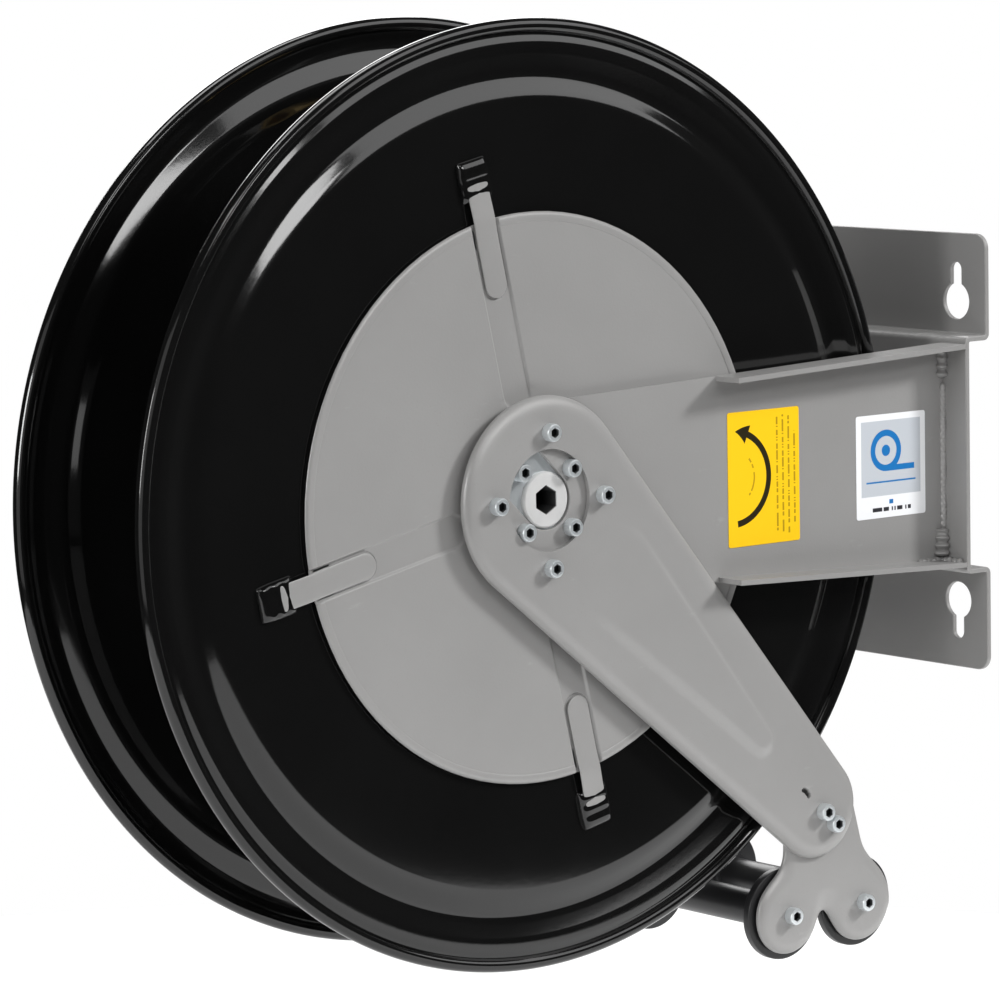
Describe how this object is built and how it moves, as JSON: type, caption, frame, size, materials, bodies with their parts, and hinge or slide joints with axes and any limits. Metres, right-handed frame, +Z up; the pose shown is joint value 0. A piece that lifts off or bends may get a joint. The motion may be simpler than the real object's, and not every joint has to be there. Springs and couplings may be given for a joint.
{
  "type": "wall-mounted hose reel",
  "caption": "Wall-mounted spring-rewind hose reel: sheet-steel side arms carry a flanged drum, and swing arms hold a two-roller hose guide.",
  "frame": {"origin": "centre of the wall bracket on the wall plane, level with the hub", "axes": "+X into the wall, +Y to the rear of the reel along the drum's axle, +Z up; the front with the spring case faces -Y"},
  "size_m": [0.5999, 0.1974, 0.562],
  "materials": {
    "grey_paint": "semi-gloss powder coat",
    "black_gloss_paint": "high gloss",
    "zinc_plate": "bright zinc",
    "shaft_steel": "turned, zinc plated",
    "dark_steel": "oiled",
    "spring_steel": "blued, oiled",
    "brass": "machined",
    "bearing_bronze": "sintered",
    "seal_rubber": "matte",
    "black_plastic": "satin moulded",
    "yellow_label": "printed film",
    "white_label": "printed film"
  },
  "bodies": {
    "frame": {"wall_bracket": "grey_paint", "front_side_arm": "grey_paint", "rear_side_arm": "grey_paint", "main_shaft": "shaft_steel", "spring_arbor": "dark_steel", "front_shaft_collar": "zinc_plate", "rear_shaft_collar": "zinc_plate", "front_lock_plate": "grey_paint", "rear_lock_plate": "grey_paint", "front_collar_screws": "zinc_plate", "rear_collar_screws": "zinc_plate", "front_guide_arm": "grey_paint", "rear_guide_arm": "grey_paint", "front_arm_screws": "zinc_plate", "rear_arm_screws": "zinc_plate", "front_roller_plate": "grey_paint", "rear_roller_plate": "grey_paint", "front_tip_screws": "zinc_plate", "rear_tip_screws": "zinc_plate", "front_tip_spacers": "zinc_plate", "rear_tip_spacers": "zinc_plate", "front_tip_nuts": "zinc_plate", "rear_tip_nuts": "zinc_plate", "front_axle_screws": "zinc_plate", "rear_axle_screws": "zinc_plate", "roller_axle_a": "shaft_steel", "roller_axle_b": "shaft_steel", "inlet_fitting": "brass", "pawl_pin": "zinc_plate", "pawl_spring": "spring_steel", "direction_label": "yellow_label", "rating_label": "white_label"},
    "drum": {"front_flange": "black_gloss_paint", "rear_flange": "black_gloss_paint", "drum_core": "black_gloss_paint", "spring_case": "grey_paint", "spring_case_cover": "grey_paint", "cover_clips": "grey_paint", "clip_keepers": "black_gloss_paint", "power_spring": "spring_steel", "front_bush": "bearing_bronze", "rear_bush": "bearing_bronze", "swivel_body": "brass", "swivel_seals": "seal_rubber", "feed_pipe": "brass", "hose_outlet": "brass", "ratchet_wheel": "dark_steel", "ratchet_rivets": "zinc_plate"},
    "roller_a": {"roller_a_tube": "black_plastic", "roller_a_front_cap": "black_plastic", "roller_a_rear_cap": "black_plastic"},
    "roller_b": {"roller_b_tube": "black_plastic", "roller_b_front_cap": "black_plastic", "roller_b_rear_cap": "black_plastic"},
    "pawl": {"pawl": "dark_steel"}
  },
  "joints": [
    {"name": "drum_spin", "type": "hinge", "parent": "frame", "child": "drum", "pos_m": [-0.33, 0, 0], "axis": [0, -1, 0], "range_deg": [0, 5280], "stiffness_Nm_per_rad": 0.12},
    {"name": "roller_a_spin", "type": "hinge", "parent": "frame", "child": "roller_a", "pos_m": [-0.14697, 0, -0.26453], "axis": [0, 1, 0], "continuous": true},
    {"name": "roller_b_spin", "type": "hinge", "parent": "frame", "child": "roller_b", "pos_m": [-0.08897, 0, -0.26453], "axis": [0, 1, 0], "continuous": true},
    {"name": "pawl_pivot", "type": "hinge", "parent": "frame", "child": "pawl", "pos_m": [-0.25418, 0.06325, 0.01956], "axis": [0, -1, 0], "range_deg": [0, 12], "stiffness_Nm_per_rad": 0.02}
  ]
}
